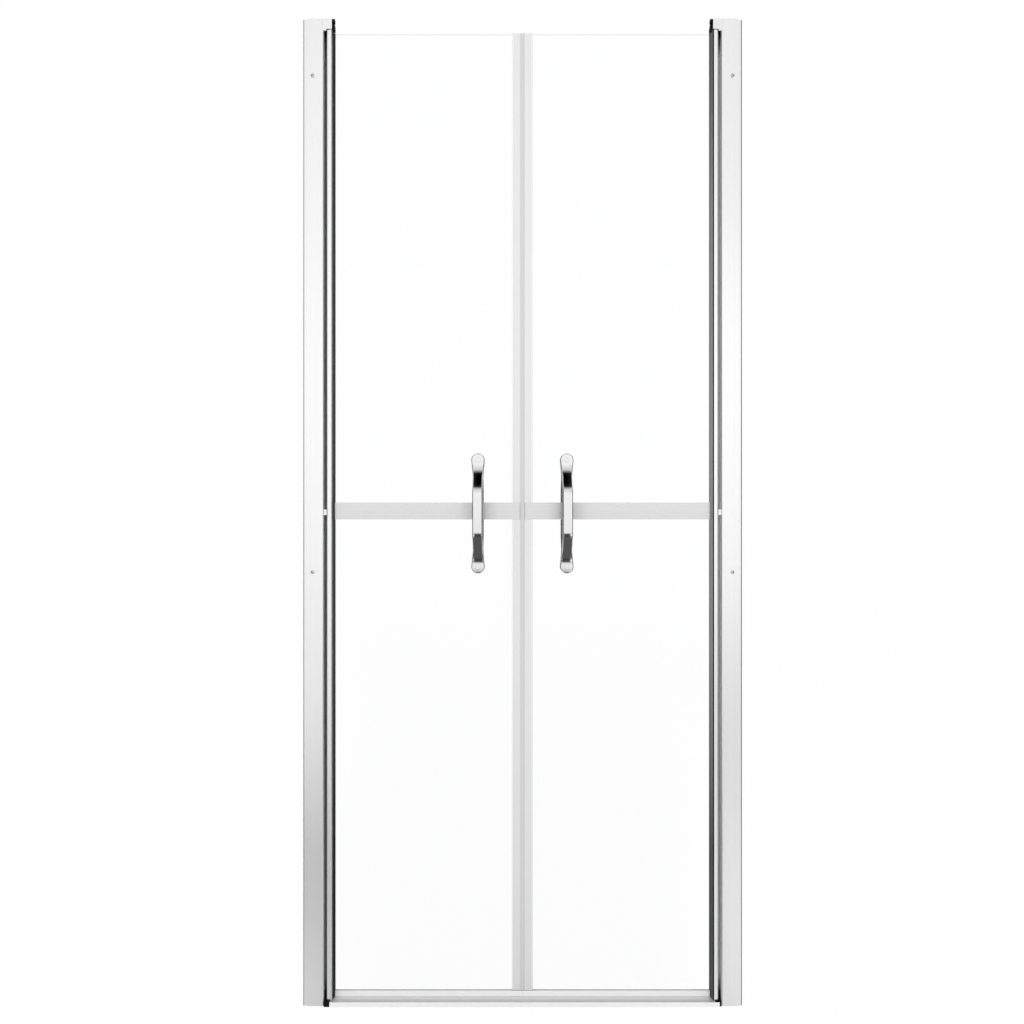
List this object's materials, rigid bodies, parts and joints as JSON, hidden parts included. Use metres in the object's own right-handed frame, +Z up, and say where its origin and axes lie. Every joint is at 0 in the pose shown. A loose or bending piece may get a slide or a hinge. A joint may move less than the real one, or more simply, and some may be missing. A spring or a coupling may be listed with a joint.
{
  "type": "shower door",
  "caption": "Framed alcove shower door with two clear glass leaves that swing in and out, closing on magnetic seals, with a low threshold and bow handles.",
  "frame": {"origin": "on the tray under the middle of the door, in the plane of the panes", "axes": "+X to the right seen from outside the shower, +Y into the shower, +Z up"},
  "size_m": [0.847, 0.09, 1.9],
  "materials": {
    "silver_aluminium": "satin, clear anodised",
    "light_profile": "satin, light grey",
    "seal_plastic": "soft, slightly translucent",
    "magnet_strip": "matte",
    "clear_glass": "clear, polished",
    "black_rubber": "matte",
    "black_plastic": "fine grain",
    "white_plastic": "smooth",
    "clear_plastic": "clear",
    "steel": "zinc plated, bright",
    "bright_chrome": "polished"
  },
  "bodies": {
    "frame": {"left_jamb_profile": "silver_aluminium", "left_clamp_screws": "steel", "left_clamp_nuts": "steel", "left_top_cap": "silver_aluminium", "left_groove_clips": "white_plastic", "left_top_bearing": "black_plastic", "left_bottom_bearing": "black_plastic", "left_thrust_washer": "white_plastic", "right_jamb_profile": "silver_aluminium", "right_clamp_screws": "steel", "right_clamp_nuts": "steel", "right_top_cap": "silver_aluminium", "right_groove_clips": "white_plastic", "right_top_bearing": "black_plastic", "right_bottom_bearing": "black_plastic", "right_thrust_washer": "white_plastic", "threshold": "silver_aluminium"},
    "left_wall_side": {"left_wall_profile": "silver_aluminium"},
    "left_leaf": {"left_top_pivot": "steel", "left_bottom_pivot": "steel", "left_hinge_post": "silver_aluminium", "left_glazing_gasket": "black_rubber", "left_top_corner_block": "black_plastic", "left_upper_pane": "clear_glass", "left_lower_pane": "clear_glass", "left_mid_rail": "silver_aluminium", "left_lower_closing_profile": "light_profile", "left_upper_closing_profile": "light_profile", "left_lower_magnetic_seal": "seal_plastic", "left_upper_magnetic_seal": "seal_plastic", "left_seal_magnets": "magnet_strip", "left_bottom_seal": "seal_plastic", "left_front_handle": "bright_chrome", "left_back_handle": "bright_chrome", "left_handle_studs": "steel", "left_handle_washers": "clear_plastic"},
    "right_wall_side": {"right_wall_profile": "silver_aluminium"},
    "right_leaf": {"right_top_pivot": "steel", "right_bottom_pivot": "steel", "right_hinge_post": "silver_aluminium", "right_glazing_gasket": "black_rubber", "right_top_corner_block": "black_plastic", "right_upper_pane": "clear_glass", "right_lower_pane": "clear_glass", "right_mid_rail": "silver_aluminium", "right_lower_closing_profile": "light_profile", "right_upper_closing_profile": "light_profile", "right_lower_magnetic_seal": "seal_plastic", "right_upper_magnetic_seal": "seal_plastic", "right_seal_magnets": "magnet_strip", "right_bottom_seal": "seal_plastic", "right_front_handle": "bright_chrome", "right_back_handle": "bright_chrome", "right_handle_studs": "steel", "right_handle_washers": "clear_plastic"}
  },
  "joints": [
    {"name": "left_width_adjustment", "type": "slide", "parent": "frame", "child": "left_wall_side", "axis": [-1, 0, 0], "range_m": [-0.007, 0.008]},
    {"name": "left_leaf_pivot", "type": "hinge", "parent": "frame", "child": "left_leaf", "pos_m": [-0.3723, 0, 0], "axis": [0, 0, 1], "range_deg": [-90, 90]},
    {"name": "right_width_adjustment", "type": "slide", "parent": "frame", "child": "right_wall_side", "axis": [1, 0, 0], "range_m": [-0.007, 0.008]},
    {"name": "right_leaf_pivot", "type": "hinge", "parent": "frame", "child": "right_leaf", "pos_m": [0.3723, 0, 0], "axis": [0, 0, 1], "range_deg": [-90, 90]}
  ]
}
